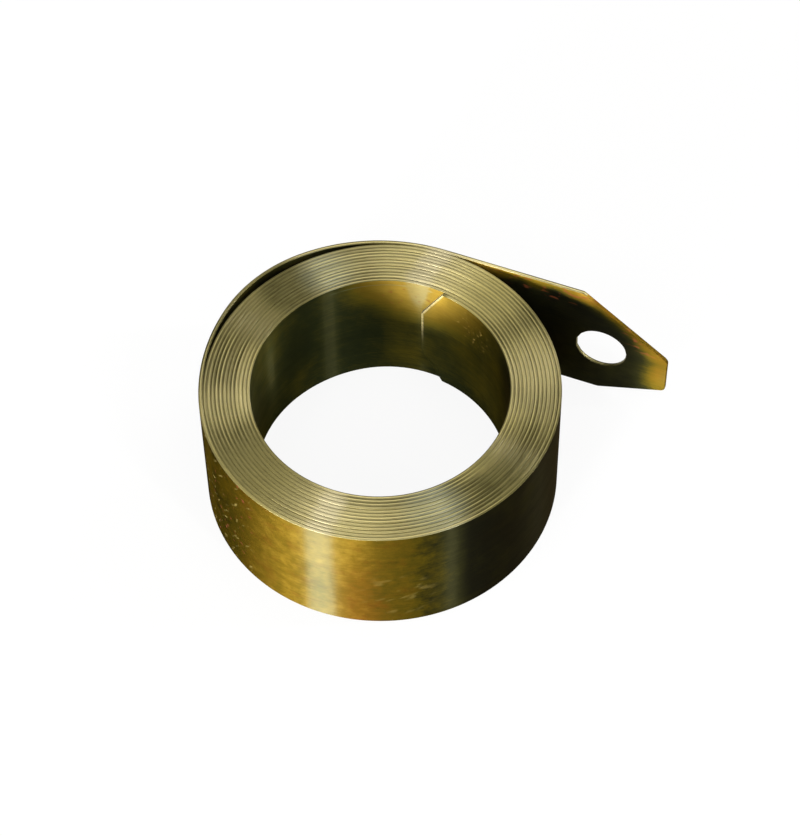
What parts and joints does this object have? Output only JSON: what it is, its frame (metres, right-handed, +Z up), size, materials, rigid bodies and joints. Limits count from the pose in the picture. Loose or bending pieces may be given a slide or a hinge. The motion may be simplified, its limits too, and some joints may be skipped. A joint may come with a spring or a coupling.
{
  "type": "constant force spring",
  "caption": "Flat spring-steel strip wound into a tight coil that stands on its edge, with a straight tapered tail and a mounting hole, for a steady pull.",
  "frame": {"origin": "on the coil's axis, level with the strip's lower edge", "axes": "+Z up along the coil's axis; the tail runs off towards +X from the coil's +Y side"},
  "size_m": [0.0792, 0.0606, 0.025],
  "materials": {
    "spring_strip": "blued and oiled spring steel strip with an olive-gold cast, bright slit edges"
  },
  "bodies": {
    "root": {"spring_strip": "spring_strip"}
  },
  "joints": []
}
